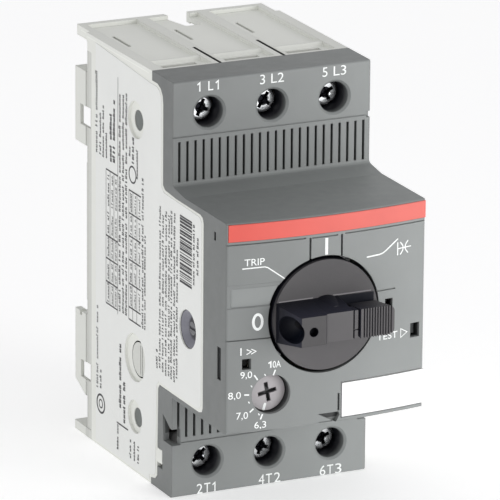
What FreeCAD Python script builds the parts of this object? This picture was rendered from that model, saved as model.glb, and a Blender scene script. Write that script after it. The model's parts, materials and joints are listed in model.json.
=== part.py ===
import FreeCAD, Part
import math
import os

# Motor protection breaker: 45 mm wide, three poles, rotary handle, clips on a 35 mm rail.
# Frame: X to the right, Y to the rear, Z up. The origin is the centre of the rail seat.
# Lengths are in millimetres. Inside this file a point is given as (x, d, h):
# d is the depth behind the terminal face and h is the height above the underside.

os.makedirs("parts", exist_ok=True)

# ---- driving dimensions -------------------------------------------------
WIDTH = 45.0                # overall width
HEIGHT = 90.0               # overall height
SEAT_DEPTH = 44.2           # terminal face to rail seat
RAIL_H = 46.0               # height of the rail's centre line
PANEL_D = -26.2             # front panel at its side edges
BULGE = 1.8                 # how far the panel's middle stands in front of its edges
PANEL_LOW = 22.1
PANEL_HIGH = 67.0
WALL = 1.4                  # side walls
PLATE = 1.6                 # front plates
SEAM = 0.10                 # gap between cover and housing
PITCH = 14.3                # pole pitch
POLES = (-PITCH, 0.0, PITCH)
UPPER_SCREW_H = 82.8
LOWER_SCREW_H = 7.1
WELL_R = 3.3                # screwdriver wells
GRILLE_PITCH = 1.83
GRILLE_START = -21.03
GRILLE_COUNT = 24
GRILLE_WIDTH = 0.55
KNOB_X = -1.1
KNOB_H = 45.8
KNOB_HOLE_R = 12.5
KNOB_R = 11.75
BAR_FRONT = -35.9
GRIP_H = KNOB_H - 0.35      # middle of the grip bar
DIAL_X = -12.8
DIAL_H = 29.95
DIAL_HOLE_R = 4.2
DIAL_R = 3.95
CAM_R = 3.6                 # eccentric disc on the dial's shaft
CAM_OFFSET = 0.9
TRAVEL = 2.9                # contact carrier travel
CONTACT_GAP = 3.0
RAMP_SLOPE = TRAVEL / 10.0  # slope of the cam face along each of its two axes
RAMP_D = -5.0
FOLLOWER_R = 1.2
HALF = WIDTH / 2.0


# ---- helpers ------------------------------------------------------------
def vec(x, d, h):
    return FreeCAD.Vector(x, d - SEAT_DEPTH, h - RAIL_H)


X_DIR = FreeCAD.Vector(1, 0, 0)
Y_DIR = FreeCAD.Vector(0, 1, 0)
Z_DIR = FreeCAD.Vector(0, 0, 1)


def box(x0, x1, d0, d1, h0, h1):
    return Part.makeBox(x1 - x0, d1 - d0, h1 - h0, vec(x0, d0, h0))


def rod_x(x0, x1, d, h, r):
    return Part.makeCylinder(r, x1 - x0, vec(x0, d, h), X_DIR)


def rod_y(x, d0, d1, h, r):
    return Part.makeCylinder(r, d1 - d0, vec(x, d0, h), Y_DIR)


def side_prism(points, x0, x1):
    """Extrude a closed (d, h) outline from x0 to x1."""
    ring = [vec(x0, d, h) for d, h in points]
    face = Part.Face(Part.makePolygon(ring + [ring[0]]))
    return face.extrude(FreeCAD.Vector(x1 - x0, 0, 0))


def plan_prism(points, h0, h1):
    """Extrude a closed (x, d) outline from h0 to h1."""
    ring = [vec(x, d, h0) for x, d in points]
    face = Part.Face(Part.makePolygon(ring + [ring[0]]))
    return face.extrude(FreeCAD.Vector(0, 0, h1 - h0))


def front_prism(points, d0, d1):
    """Extrude a closed (x, h) outline from d0 to d1."""
    ring = [vec(x, d0, h) for x, h in points]
    face = Part.Face(Part.makePolygon(ring + [ring[0]]))
    return face.extrude(FreeCAD.Vector(0, d1 - d0, 0))


def bow(x):
    """How far the curved panel stands in front of PANEL_D at x."""
    radius = (HALF ** 2 + BULGE ** 2) / (2.0 * BULGE)
    return math.sqrt(radius ** 2 - x ** 2) - (radius - BULGE)


def bowed_block(x0, x1, back, h0, h1, inset):
    """Block from depth back forward to the panel's curved face, set in by inset."""
    xm = (x0 + x1) / 2.0
    start = vec(x0, PANEL_D - bow(x0) + inset, h0)
    middle = vec(xm, PANEL_D - bow(xm) + inset, h0)
    end = vec(x1, PANEL_D - bow(x1) + inset, h0)
    arc = Part.Arc(start, middle, end).toShape()
    rear = Part.makePolygon([end, vec(x1, back, h0), vec(x0, back, h0), start])
    face = Part.Face(Part.Wire([arc] + rear.Edges))
    return face.extrude(FreeCAD.Vector(0, 0, h1 - h0))


def bowed_slab(x0, x1, h0, h1, inset, depth):
    """Curved slab that follows the panel's face."""
    return bowed_block(x0, x1, -20.0, h0, h1, inset).cut(
        bowed_block(x0 - 1, x1 + 1, -19.0, h0 - 1, h1 + 1, inset + depth))


def fuse(shapes):
    body = shapes[0]
    if len(shapes) > 1:
        body = body.multiFuse(shapes[1:])
    return body.removeSplitter()


def cut(body, tools):
    return body.cut(Part.makeCompound(tools))


def ring_stack(x, d, h, axis, count, pitch, radius, wire):
    """Closed turns standing side by side, used for windings and springs."""
    turns = []
    for i in range(count):
        shift = axis * (pitch * i)
        turns.append(Part.makeTorus(radius, wire, vec(x, d, h) + shift, axis))
    return turns


def save(name, shapes):
    if not isinstance(shapes, list):
        shapes = [shapes]
    solids = []
    for shape in shapes:
        solids += shape.Solids
    whole = solids[0] if len(solids) == 1 else Part.makeCompound(solids)
    whole.exportStep("parts/" + name + ".step")


# ---- outline shared by the cover and the housing, seen from the side -----
WHITE_EDGE = [
    (10.5, 90.0), (10.9, 87.9), (7.8, 87.9), (6.2, 87.2), (5.2, 85.9), (4.9, 84.2),
    (4.9, 66.9), (3.8, 66.1), (-1.6, 65.7), (-13.4, 65.6), (-14.6, 65.2), (-15.1, 64.2),
    (-15.1, 24.5), (-14.7, 23.5), (-13.4, 23.1), (6.3, 23.1), (7.0, 22.1),
    (7.4, 2.8), (8.4, 1.8), (10.5, 1.4), (10.5, 0.0),
]


def shifted_edge(offset):
    """The boundary moved forward by offset where it faces the front."""
    return [(d - offset, h) for d, h in WHITE_EDGE]


# ---- rear housing ---------------------------------------------------------
def rear_housing():
    back = SEAT_DEPTH - 0.25
    edge = WHITE_EDGE + [(back, 0.0), (back, HEIGHT)]
    parts = [
        side_prism(edge, -HALF, -HALF + WALL),
        side_prism(edge, HALF - WALL, HALF),
        box(-HALF, HALF, 42.0, back, 0.0, 89.1),
        box(-HALF, HALF, 41.0, SEAT_DEPTH, 30.8, 61.3),
        box(-HALF, HALF, 10.5, back, 86.9, 89.1),
        box(-HALF, HALF, 10.5, back, 0.0, 1.8),
    ]
    for x in (-PITCH / 2, PITCH / 2):
        parts.append(box(x - 0.5, x + 0.5, 21.6, 42.1, 1.7, 87.0))
        parts.append(box(x - 0.5, x + 0.5, 2.2, 21.7, 74.0, 86.95))
        parts.append(box(x - 0.5, x + 0.5, 2.2, 10.6, 1.9, 21.8))
        parts.append(box(x - 0.5, x + 0.5, 10.5, 21.7, 1.75, 21.8))
    # raised ribs and a thin front rim around the three bays on the top face
    for x in (-HALF + 1.3, -PITCH / 2, PITCH / 2, HALF - 1.3):
        parts.append(box(x - 1.3, x + 1.3, 10.5, 43.5, 88.6, HEIGHT))
    for x in (-PITCH / 2, PITCH / 2):
        parts.append(box(x - 1.3, x + 1.3, 43.0, 49.6, 88.6, HEIGHT))
    parts.append(box(-HALF, HALF, 10.5, 11.35, 88.6, HEIGHT))
    # sloping lip behind each wire entry
    for x in POLES:
        ridge = [(15.9, 87.5), (15.9, 88.2), (17.5, 89.9), (18.3, 89.9), (20.2, 88.8), (20.2, 87.5)]
        parts.append(side_prism(ridge, x - 5.9, x + 5.9))
    # clip tabs that hook into the cover near the bottom
    for x0 in (-HALF, HALF - WALL):
        parts.append(box(x0, x0 + WALL, 4.9, 8.0, 5.9, 9.0))
    # overhanging plates at the top and bottom of the back; the upper one ends in a lip
    parts.append(box(-HALF + 0.9, HALF - 0.9, 43.0, 49.6, 88.0, 89.1))
    parts.append(box(-HALF + 0.9, HALF - 0.9, 49.4, 51.0, 87.7, HEIGHT))
    for x in (-HALF + 0.9, HALF - 2.5):
        parts.append(box(x, x + 1.6, 43.0, 49.6, 87.7, HEIGHT))
    # doubled wall behind the windows of the feet
    for x0 in (-HALF + 0.5, HALF - 7.5):
        parts.append(box(x0, x0 + 7.0, 40.8, 42.5, 67.5, 75.5))
        parts.append(box(x0, x0 + 7.0, 40.8, 42.5, 11.0, 18.5))
    parts.append(box(-HALF, HALF, 43.0, 50.3, 0.0, 2.0))
    # upper foot: side plates, a top plate and the fixed rail hook
    upper = [(43.0, 65.0), (49.9, 65.0), (49.9, 81.3), (43.0, 81.3)]
    for x in (-HALF, -14.5, -6.6, -0.7, 5.2, 13.1, HALF - 1.4):
        parts.append(side_prism(upper, x, x + 1.4))
    parts.append(box(-HALF, HALF, 43.0, 49.9, 79.8, 81.3))
    parts.append(box(-HALF, HALF, 43.0, 49.9, 65.0, 66.6))
    hook = [(45.7, 61.6), (47.2, 61.6), (49.9, 64.0), (49.9, 65.2), (45.7, 65.2)]
    parts.append(side_prism(hook, -12.0, 12.0))
    # lower foot: two halves with the latch channel between them
    lower = [(43.0, 9.2), (44.6, 9.2), (50.0, 11.6), (50.0, 27.5), (47.6, 27.5),
             (47.6, 26.6), (46.4, 26.6), (46.4, 27.5), (43.0, 27.5)]
    for x in (-HALF, -15.6, -8.6, 7.2, 14.2, HALF - 1.4):
        parts.append(side_prism(lower, x, x + 1.4))
    for x in (-HALF, 7.2):
        parts.append(box(x, x + 15.3, 43.0, 50.0, 24.9, 26.6))
    body = fuse(parts)
    tools = []
    for x in POLES:
        # wire entries, open at the front where the cover closes them
        tools.append(box(x - 3.95, x + 3.95, 11.35, 15.9, 86.0, 91.0))
        tools.append(box(x - 4.6, x + 4.6, 10.0, 15.9, -1.0, 2.5))
        tools.append(box(x - 3.6, x - 2.85, 32.5, 41.5, 88.6, 89.5))
    for x in (-6.9, 7.7):
        tools.append(box(x - 0.35, x + 0.35, 10.0, 24.0, 88.3, 90.5))
    gap = [(-1.5, 52.0), (-1.5, 51.0), (0.2, 43.2), (3.9, 43.2), (3.9, 52.0)]
    tools.append(plan_prism(gap, 87.0, 91.0))
    # windows through the feet and the pockets behind them
    for side in (-1, 1):
        x0, x1 = sorted((side * (HALF + 0.1), side * (HALF - 6.0)))
        tools.append(box(x0, x1, 42.2, 47.2, 69.2, 73.6))
        tools.append(box(x0, x1, 42.2, 47.0, 12.8, 16.7))
        x0, x1 = sorted((side * (HALF - 0.75), side * (HALF - 6.0)))
        tools.append(box(x0, x1, 42.4, 49.1, 68.4, 74.4))
        tools.append(box(x0, x1, 42.4, 49.1, 12.0, 17.5))
    # dimples on both side walls
    for side in (-1, 1):
        x0 = -HALF - 0.1 if side < 0 else HALF - 0.5
        tools.append(rod_x(x0, x0 + 0.6, 18.3, 77.4, 4.0))
        tools.append(rod_x(x0, x0 + 0.6, 18.6, 25.4, 5.2))
        tools.append(rod_x(x0, x0 + 0.6, 18.5, 12.3, 3.6))
        through = -HALF - 0.1 if side < 0 else HALF - WALL - 0.1
        tools.append(rod_x(through, through + WALL + 0.2, 18.1, 77.3, 2.2))
        tools.append(rod_x(through, through + WALL + 0.2, 17.3, 25.3, 4.0))
        tools.append(rod_x(through, through + WALL + 0.2, 18.1, 12.2, 2.1))
        tools.append(rod_x(through, through + WALL + 0.2, -7.8, 39.4, 4.1))
    # shallow step down along the back edge of each side
    for side in (-1, 1):
        x0 = -HALF - 0.1 if side < 0 else HALF - 0.15
        tools.append(box(x0, x0 + 0.25, 41.7, 44.3, 2.0, 88.0))
    # channel for the latch and its spring
    tools.append(box(-7.1, 7.1, back, 52.0, -1.0, 28.0))
    tools.append(box(-3.1, 3.1, 42.6, 44.3, 14.0, 28.0))
    return cut(body, tools)


# ---- front cover ----------------------------------------------------------
def front_cover():
    blocks = [
        box(-HALF, HALF, 0.0, 10.4, 66.0, HEIGHT),
        box(-HALF, HALF, 0.0, 10.4, 0.0, 23.0),
        bowed_block(-HALF, HALF, 1.0, PANEL_LOW, PANEL_HIGH, 0.0),
        # the panel's top rises gently to a rounded root at the terminal face
        side_prism([(0.2, 66.9), (-6.0, 66.9), (-6.0, 67.0), (-1.0, 67.75), (-0.5, 67.9), (-0.2, 68.15),
                    (0.0, 68.5), (0.2, 68.5)], -HALF, HALF),
    ]
    body = fuse(blocks)
    # soften the long front edges
    soft = []
    for edge in body.Edges:
        box_ = edge.BoundBox
        long_x = box_.XLength > WIDTH - 0.1 and box_.ZLength < 1e-6
        top_or_base = abs(box_.ZMin + RAIL_H - HEIGHT) < 1e-6 or abs(box_.ZMin + RAIL_H) < 1e-6
        at_face = abs(box_.YMin + SEAT_DEPTH) < 1e-6
        panel = box_.YMin < PANEL_D - SEAT_DEPTH + 0.01
        upright = box_.ZLength > 40 and box_.XLength < 1e-6
        if (long_x and top_or_base and at_face) or (long_x and panel) or (upright and panel):
            soft.append(edge)
    body = body.makeFillet(0.55, soft)
    inner = [
        box(-HALF + WALL, HALF - WALL, PLATE + 0.2, 12.0, 1.8, HEIGHT - 1.8),
        bowed_block(-HALF + WALL, HALF - WALL, 3.0, PANEL_LOW + PLATE, PANEL_HIGH - PLATE, PLATE),
    ]
    body = cut(body, inner)
    # side walls give way to the housing's side walls
    edge = shifted_edge(SEAM) + [(14.0, -1.0), (14.0, HEIGHT + 1.0)]
    edge[0] = (10.4, HEIGHT + 1.0)
    edge[len(WHITE_EDGE) - 1] = (10.4, -1.0)
    tools = [side_prism(edge, -HALF - 1, -HALF + WALL), side_prism(edge, HALF - WALL, HALF + 1)]
    body = cut(body, tools)
    wells = []
    for x in POLES:
        wells.append(rod_y(x, 1.0, 5.9, UPPER_SCREW_H, WELL_R + 0.9))
        wells.append(rod_y(x, 1.0, 5.9, LOWER_SCREW_H, WELL_R + 0.9))
    dial_well = rod_y(DIAL_X, -26.0, -22.4, DIAL_H, DIAL_HOLE_R + 1.0)
    fork = bowed_block(-HALF + WALL, HALF - WALL, -20.0, PANEL_LOW + PLATE, PANEL_HIGH - PLATE, PLATE)
    body = fuse([body] + wells + [dial_well.common(fork)])
    tools = []
    for x in POLES:
        for h in (UPPER_SCREW_H, LOWER_SCREW_H):
            tools.append(rod_y(x, -1.0, 7.0, h, WELL_R))
            rim = Part.makeCone(WELL_R + 0.5, WELL_R, 0.5, vec(x, -0.001, h), Y_DIR)
            tools.append(rim)
    for i in range(GRILLE_COUNT):
        x = GRILLE_START + i * GRILLE_PITCH
        tools.append(box(x - GRILLE_WIDTH / 2, x + GRILLE_WIDTH / 2, -1.0, 1.2, 68.6, 77.2))
        tools.append(box(x - GRILLE_WIDTH / 2, x + GRILLE_WIDTH / 2, -1.0, 1.2, 13.1, 22.1))
    tools.append(box(-HALF - 1, HALF + 1, -1.0, 0.25, 78.1, 78.35))
    tools.append(box(-HALF - 1, HALF + 1, -1.0, 0.25, 11.9, 12.15))
    tools.append(box(HALF - 0.8, HALF + 1, -1.0, 0.8, 77.7, 79.0))
    # notch in the lower left and right corners, where the clip tabs sit
    notch = [(-1.0, 11.5), (4.3, 11.5), (4.6, 17.2), (4.3, 17.2), (0.9, 15.1), (-1.0, 15.1)]
    tools.append(side_prism(notch, -HALF - 1, -HALF + 2.0))
    tools.append(side_prism(notch, HALF - 2.0, HALF + 1))
    for x0, x1 in ((-HALF - 1, -HALF + WALL + 0.1), (HALF - WALL - 0.1, HALF + 1)):
        tools.append(box(x0, x1, 4.7, 8.0, 4.9, 9.15))
    for x0, x1 in ((-HALF - 1, -HALF + 0.5), (HALF - 0.5, HALF + 1)):
        tools.append(box(x0, x1, -23.8, -22.0, 33.0, 40.0))
        tools.append(box(x0, x1, -21.1, -20.2, 62.1, 63.9))
    # openings of the panel
    tools.append(rod_y(KNOB_X, -30.0, -20.0, KNOB_H, KNOB_HOLE_R))
    tools.append(rod_y(DIAL_X, -30.0, -20.0, DIAL_H, DIAL_HOLE_R))
    tools.append(box(-19.1, -17.15, -30.0, -23.5, 35.75, 38.05))
    tools.append(box(19.15, 21.35, -30.0, -23.5, 37.7, 40.8))
    tools.append(box(12.9, 14.7, -30.0, -23.5, 45.3, 47.05))
    # seats for the coloured band and the marking plate
    tools.append(bowed_slab(-HALF + 0.35, HALF + 1, 63.05, 66.75, -0.6, 1.0))
    tools.append(bowed_slab(2.8, HALF + 1, 22.95, 30.65, -0.6, 1.2))
    tools.append(bowed_slab(2.05, 2.5, 24.6, 28.35, -0.6, 1.6))
    # tool notch in the panel's lower edge
    notch_outline = [(-2.4, 24.4), (2.3, 24.4), (2.55, 23.7), (1.75, 22.2), (-0.5, 23.4)]
    tools.append(front_prism(notch_outline, -31.0, PANEL_D - BULGE + 1.2))
    tools.append(bowed_slab(-2.2, 0.9, 22.5, 22.7, -0.6, 0.85))
    # fine grooves on the panel's face
    grooves = [
        (-HALF - 1, -5.5, 62.33, 62.58, 0.4), (-4.15, 1.7, 62.22, 62.47, 0.4), (3.3, HALF + 1, 62.35, 62.6, 0.4),
        (-HALF - 1, -12.2, 42.0, 42.25, 0.4), (9.8, 15.3, 48.9, 49.15, 0.4),
        (-4.7, -4.27, 57.5, 62.4, 1.0), (2.4, 2.85, 57.0, 62.4, 1.0),
    ]
    for x0, x1, h0, h1, depth in grooves:
        tools.append(bowed_slab(x0, x1, h0, h1, -0.6, 0.6 + depth))
    # shallow label recess left of the handle
    tools.append(bowed_slab(-22.3, -11.0, 48.95, 53.9, -0.6, 0.72))
    tools.append(bowed_slab(-21.5, -11.0, 49.1, 53.1, -0.6, 0.95))
    return cut(body, tools)


def red_band():
    return bowed_slab(-HALF + 0.4, HALF, 63.1, 66.7, -0.06, 0.42)


def marking_plate():
    return bowed_slab(3.0, HALF, 23.15, 30.45, -0.15, 0.70)


def side_label():
    """Thin rating label on the left wall, with holes where the wall has its dimples."""
    edge = [(38.9, 0.7), (38.9, 88.9), (10.9, 87.2), (7.9, 87.2), (6.6, 86.6), (5.8, 85.6), (5.6, 84.2),
            (5.6, 66.5), (4.2, 65.4), (-13.2, 65.0), (-14.3, 64.1), (-14.4, 24.8), (-13.2, 23.8),
            (6.6, 23.8), (7.6, 22.4), (8.1, 3.2), (8.9, 2.4), (11.0, 2.0), (11.2, 0.7)]
    sheet = side_prism(edge, -HALF - 0.12, -HALF)
    tools = []
    for d, h, r in ((18.3, 77.4, 4.05), (18.6, 25.4, 5.25), (18.5, 12.3, 3.65), (-7.8, 39.4, 4.15)):
        tools.append(rod_x(-HALF - 1, -HALF + 1, d, h, r))
    return cut(sheet, tools)


# ---- small fixed trim -------------------------------------------------------
def housing_pins():
    """Pins in the side walls: two plain ones and a dished screw plug per side."""
    pins = []
    dish = rod_x(-HALF + 0.25, -HALF + 2.2, -7.8, 39.4, 4.0)
    cone = Part.makeCone(3.85, 2.3, 1.3, vec(-HALF + 0.2, -7.8, 39.4), X_DIR)
    head = rod_x(-HALF + 1.0, -HALF + 2.1, -7.8, 39.4, 1.45)
    stem = rod_x(-HALF + 2.0, -HALF + 7.0, -7.8, 39.4, 1.6)
    slot = box(-HALF + 0.9, -HALF + 1.4, -9.4, -6.2, 39.1, 39.7)
    plug = cut(fuse([cut(dish, [cone]), head, stem]), [slot])
    pins.append(plug)
    for d, h, r in ((18.1, 77.3, 2.15), (18.1, 12.2, 2.05)):
        pins.append(rod_x(-HALF + 0.65, -HALF + 3.0, d, h, r))
    origin = FreeCAD.Vector(0, 0, 0)
    return pins + [pin.mirror(origin, X_DIR) for pin in pins]


def seal_plugs():
    """Round slotted plugs in the middle openings of the side walls."""
    plugs = []
    for side in (-1, 1):
        face = -HALF + 0.45 if side < 0 else HALF - 1.65
        disc = rod_x(face, face + 1.2, 17.3, 25.3, 3.7)
        cuts = []
        for d in (15.8, 16.7):
            slot0 = face - 0.1 if side < 0 else face + 0.8
            cuts.append(box(slot0, slot0 + 0.5, d, d + 0.3, 22.1, 28.5))
        plugs.append(cut(disc, cuts))
    return plugs


# ---- current path -----------------------------------------------------------
def line_conductors():
    bars = []
    for x in POLES:
        bar = box(x - 2.4, x + 2.4, 10.4, 11.4, 77.3, 86.4)
        shelf = box(x - 2.4, x + 2.4, 10.4, 22.0, 76.6, 77.6)
        drop = box(x - 2.4, x + 2.4, 21.0, 22.0, 75.6, 77.5)
        bars.append(fuse([bar, shelf, drop]))
    return bars


def load_conductors():
    bars = []
    for x in POLES:
        bar = box(x - 2.4, x + 2.4, 10.4, 11.4, 3.0, 17.0)
        shelf = box(x - 2.4, x + 2.4, 3.2, 11.4, 16.0, 17.0)
        foot = box(x + 0.45, x + 1.6, 3.6, 8.4, 16.9, 22.0)
        bars.append(fuse([bar, shelf, foot]))
    return bars


def coil_windings():
    turns = []
    for x in POLES:
        turns += ring_stack(x, 24.6, 70.0, Y_DIR, 8, 1.44, 4.55, 0.68)
    return turns


def coil_bobbins():
    bobbins = []
    for x in POLES:
        tube = rod_y(x, 23.0, 36.5, 70.0, 3.8)
        ends = [rod_y(x, 22.6, 23.4, 70.0, 5.5), rod_y(x, 35.8, 36.6, 70.0, 5.5)]
        bobbins.append(cut(fuse([tube] + ends), [rod_y(x, 20.0, 40.0, 70.0, 3.0)]))
    return bobbins


def coil_cores():
    return [rod_y(x, 31.5, 37.0, 70.0, 2.95) for x in POLES]


def coil_yokes():
    yokes = []
    for x in POLES:
        back = box(x - 5.6, x + 5.6, 37.1, 38.3, 64.0, 76.0)
        upper = box(x - 3.2, x + 3.2, 22.4, 38.3, 75.7, 76.5)
        yokes.append(fuse([back, upper]))
    return yokes


def plunger(x):
    body = rod_y(x, 25.5, 29.8, 70.0, 2.6)
    pin = rod_y(x, 16.3, 26.0, 70.0, 0.9)
    return fuse([body, pin])


def fixed_contacts(upper):
    pieces = []
    for x in POLES:
        if upper:
            strip = box(x - 2.4, x + 2.4, 31.6, 32.6, 49.6, 63.6)
            rivet = rod_y(x, 31.6 - 1.2, 31.7, 53.5, 1.6)
        else:
            strip = box(x - 2.4, x + 2.4, 31.6, 32.6, 25.8, 41.4)
            tail = box(x - 2.4, x + 2.4, 10.2, 32.6, 24.8, 25.9)
            strip = fuse([strip, tail])
            rivet = rod_y(x, 31.6 - 1.2, 31.7, 37.5, 1.6)
        pieces.append(fuse([strip, rivet]))
    return pieces


def arc_plates():
    plates = []
    for x in POLES:
        for base in (56.4, 28.2):
            for i in range(5):
                h = base + 1.35 * i
                plate = box(x - 5.1, x + 5.1, 24.0, 31.0, h, h + 0.6)
                mouth = plan_prism([(x - 1.8, 23.0), (x + 1.8, 23.0), (x, 27.5)], h - 0.5, h + 1.1)
                plates.append(plate.cut(mouth))
    return plates


def arc_frames():
    """Fibre cheeks either side of each stack of splitter plates."""
    cheeks = []
    for x in POLES:
        for base in (56.0, 27.8):
            for x0 in (x - 6.1, x + 5.3):
                cheeks.append(box(x0, x0 + 0.8, 23.6, 31.2, base, base + 6.9))
    return cheeks


def bimetal_strips():
    return [box(x - 0.4, x + 0.4, 3.6, 8.4, 17.2, 44.2) for x in POLES]


def heater_windings():
    """Flat heater ribbon wound round each strip."""
    turns = []
    for x in POLES:
        for i in range(9):
            h = 23.6 + 1.7 * i
            outer = box(x - 1.9, x + 1.9, 2.3, 9.7, h, h + 0.9)
            hole = box(x - 1.3, x + 1.3, 2.9, 9.1, h - 0.5, h + 1.4)
            turns.append(outer.cut(hole))
    return turns


# ---- release mechanism --------------------------------------------------------
def trip_slider():
    plate = box(-19.0, 18.2, 1.9, 10.2, 41.0, 42.5)
    lug = box(-19.0, -16.6, -6.0, 2.2, 41.0, 42.5)
    windows = [box(x - 2.3, x + 0.75, 3.2, 8.8, 40.0, 44.0) for x in POLES]
    return cut(fuse([plate, lug]), windows)


def compensation_strip():
    low = DIAL_H + CAM_R + CAM_OFFSET + 0.3
    strip = box(-19.6, -14.6, -15.0, -7.0, low, low + 0.7)
    foot = box(-19.6, -14.6, -7.6, -7.0, low - 3.0, low + 0.2)
    return fuse([strip, foot])


def trip_bar():
    shaft = rod_x(-20.4, 20.4, 15.5, 64.5, 1.1)
    flaps = [box(x - 2.5, x + 2.5, 15.1, 15.9, 64.8, 72.6) for x in POLES]
    finger = box(-2.2, 1.0, 15.1, 15.9, 60.8, 64.2)
    return fuse([shaft] + flaps + [finger])


def latch_lever():
    hub = rod_x(-2.4, 1.2, -2.0, 58.5, 2.2)
    rear_arm = side_prism([(-2.0, 57.6), (13.6, 61.6), (14.2, 61.9), (14.2, 63.0), (-2.0, 60.0)], -1.8, 0.6)
    front_arm = side_prism([(-3.0, 60.0), (-9.6, 56.4), (-10.4, 53.6), (-9.2, 53.6), (-3.0, 56.6)], -1.8, 0.6)
    return cut(fuse([hub, rear_arm, front_arm]), [rod_x(-3.0, 2.0, -2.0, 58.5, 1.06)])


def mechanism_frame():
    front = box(-9.6, 8.4, -20.0, -19.0, 35.5, 61.5)
    left = box(-9.6, -8.7, -19.5, 0.0, 35.5, 61.5)
    right = box(7.5, 8.4, -19.5, 0.0, 35.5, 61.5)
    pivot = rod_x(-9.0, 8.0, -2.0, 58.5, 1.0)
    bore = rod_y(KNOB_X, -21.0, -18.0, KNOB_H, 2.55)
    return cut(fuse([front, left, right, pivot]), [bore])


def handle_spring():
    return ring_stack(KNOB_X, -17.9, KNOB_H, Y_DIR, 5, 1.05, 3.6, 0.45)


# ---- contact carrier ------------------------------------------------------------
def contact_carrier():
    beam = box(-19.4, 19.4, 14.0, 18.0, 42.0, 49.0)
    boss = box(KNOB_X - 2.4, KNOB_X + 2.4, 14.0, 18.0, 48.5, 53.0)
    # the follower's round nose touches the sloping face of the drive cam
    ramp_at_rest = RAMP_D - RAMP_SLOPE * 5.0
    nose_d = ramp_at_rest + (FOLLOWER_R + 0.2) / math.cos(math.atan(RAMP_SLOPE * math.sqrt(2.0)))
    follower = rod_y(KNOB_X, nose_d, 14.5, KNOB_H + 5.0, FOLLOWER_R)
    nose = Part.makeSphere(FOLLOWER_R, vec(KNOB_X, nose_d, KNOB_H + 5.0))
    parts = [beam, boss, follower, nose]
    for x in POLES:
        for x0 in (x - 4.0, x + 3.0):
            parts.append(box(x0, x0 + 1.0, 17.5, 27.4, 43.2, 47.8))
        parts.append(box(x - 3.5, x + 3.5, 26.4, 27.4, 43.8, 47.2))
    return fuse(parts)


def contact_bridge(x):
    bar = box(x - 2.4, x + 2.4, 25.1, 26.2, 35.9, 55.1)
    pads = [rod_y(x, 26.1, 31.6 - 1.2 - CONTACT_GAP, h, 1.6) for h in (37.5, 53.5)]
    return fuse([bar] + pads)


def contact_springs():
    turns = []
    for x in POLES:
        turns += ring_stack(x, 18.5, 45.5, Y_DIR, 6, 1.22, 1.9, 0.35)
    return turns


# ---- handle -----------------------------------------------------------------------
def handle_knob():
    disc = rod_y(KNOB_X, -28.35, -22.6, KNOB_H, KNOB_R)
    c = GRIP_H
    left = KNOB_X - 11.2
    step = KNOB_X - 3.5
    end = KNOB_X + 2.6
    tip = KNOB_X + 10.8
    raised_front = BAR_FRONT - 0.8
    grip = side_prism([(-28.0, c - 4.2), (BAR_FRONT, c - 3.08), (BAR_FRONT, c + 3.08), (-28.0, c + 4.2)], left, end)
    raised = side_prism([(-30.0, c - 3.95), (raised_front, c - 3.12), (raised_front, c + 3.12), (-30.0, c + 3.95)],
                        left, step)
    core = box(end - 0.5, tip, -34.0, -28.0, c - 1.3, c + 1.3)
    foot = box(end - 0.5, tip - 0.1, -28.75, -28.0, c - 4.05, c + 4.05)
    collar = box(end + 0.35, end + 1.15, BAR_FRONT + 0.1, -33.0, c - 3.0, c + 3.0)
    boss = Part.makeCone(3.2, 4.25, 4.6, vec(KNOB_X, -33.1, KNOB_H), Y_DIR)
    body = fuse([disc, grip, raised, core, foot, collar, boss])
    # sloping finger end with a round pit bored into it
    wedge = plan_prism([(left - 1.0, -40.0), (left + 1.8, -40.0), (left + 1.8, raised_front),
                        (left - 0.05, -29.7), (left - 1.0, -29.7)], KNOB_H - 6.0, KNOB_H + 6.0)
    # bevel at the step down from the raised part
    bevel = plan_prism([(step - 0.45, raised_front - 0.1), (step + 0.1, raised_front - 0.1),
                        (step + 0.1, raised_front + 0.55)], KNOB_H - 6.0, KNOB_H + 6.0)
    axis = FreeCAD.Vector(0.46, 0.888, 0)
    axis.normalize()
    middle = vec(left + 1.12, -33.2, c - 0.15)
    pit = Part.makeCylinder(2.75, 6.5, middle - axis * 5.0, axis)
    pit_end = Part.makeSphere(2.75, middle + axis * 1.5)
    eye = rod_y(KNOB_X - 6.65, -38.0, -35.1, c - 0.15, 1.0)
    # bore for a padlock's shackle, uncovered when the slide is drawn out
    shackle = Part.makeCylinder(1.6, 12.0, vec(end + 3.1, -31.2, c - 6.0), Z_DIR)
    slit = box(end, end + 1.5, -40.0, BAR_FRONT + 0.5, c - 1.25, c - 1.0)
    return cut(body, [wedge, bevel, pit, pit_end, eye, shackle, slit])


def lock_slide():
    c = GRIP_H
    x0 = KNOB_X + 4.3
    x1 = KNOB_X + 11.9
    front = BAR_FRONT - 0.1
    outer = side_prism([(-29.1, c - 2.3), (front, c - 3.1), (front, c + 3.15), (-29.1, c + 2.3)], x0, x1)
    ends = []
    for e in outer.Edges:
        b = e.BoundBox
        if abs(b.XMin - x1) < 1e-6 and b.XLength < 1e-6 and b.YLength > 1.0:
            ends.append(e)
    outer = outer.makeFillet(1.3, ends)
    hollow = box(x0 - 1.0, x1 - 0.85, -34.3, -27.0, c - 1.6, c + 1.6)
    ribs = []
    count = 11
    pitch = (x1 - x0 - 0.9) / count
    for i in range(count):
        x = x0 + 0.75 + i * pitch
        ribs.append(box(x - 0.16, x + 0.16, -40.0, BAR_FRONT + 0.25, c - 5.0, c + 5.0))
    return cut(outer, [hollow] + ribs)


def handle_shaft():
    return rod_y(KNOB_X, -22.6, -9.0, KNOB_H, 2.5)


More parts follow.
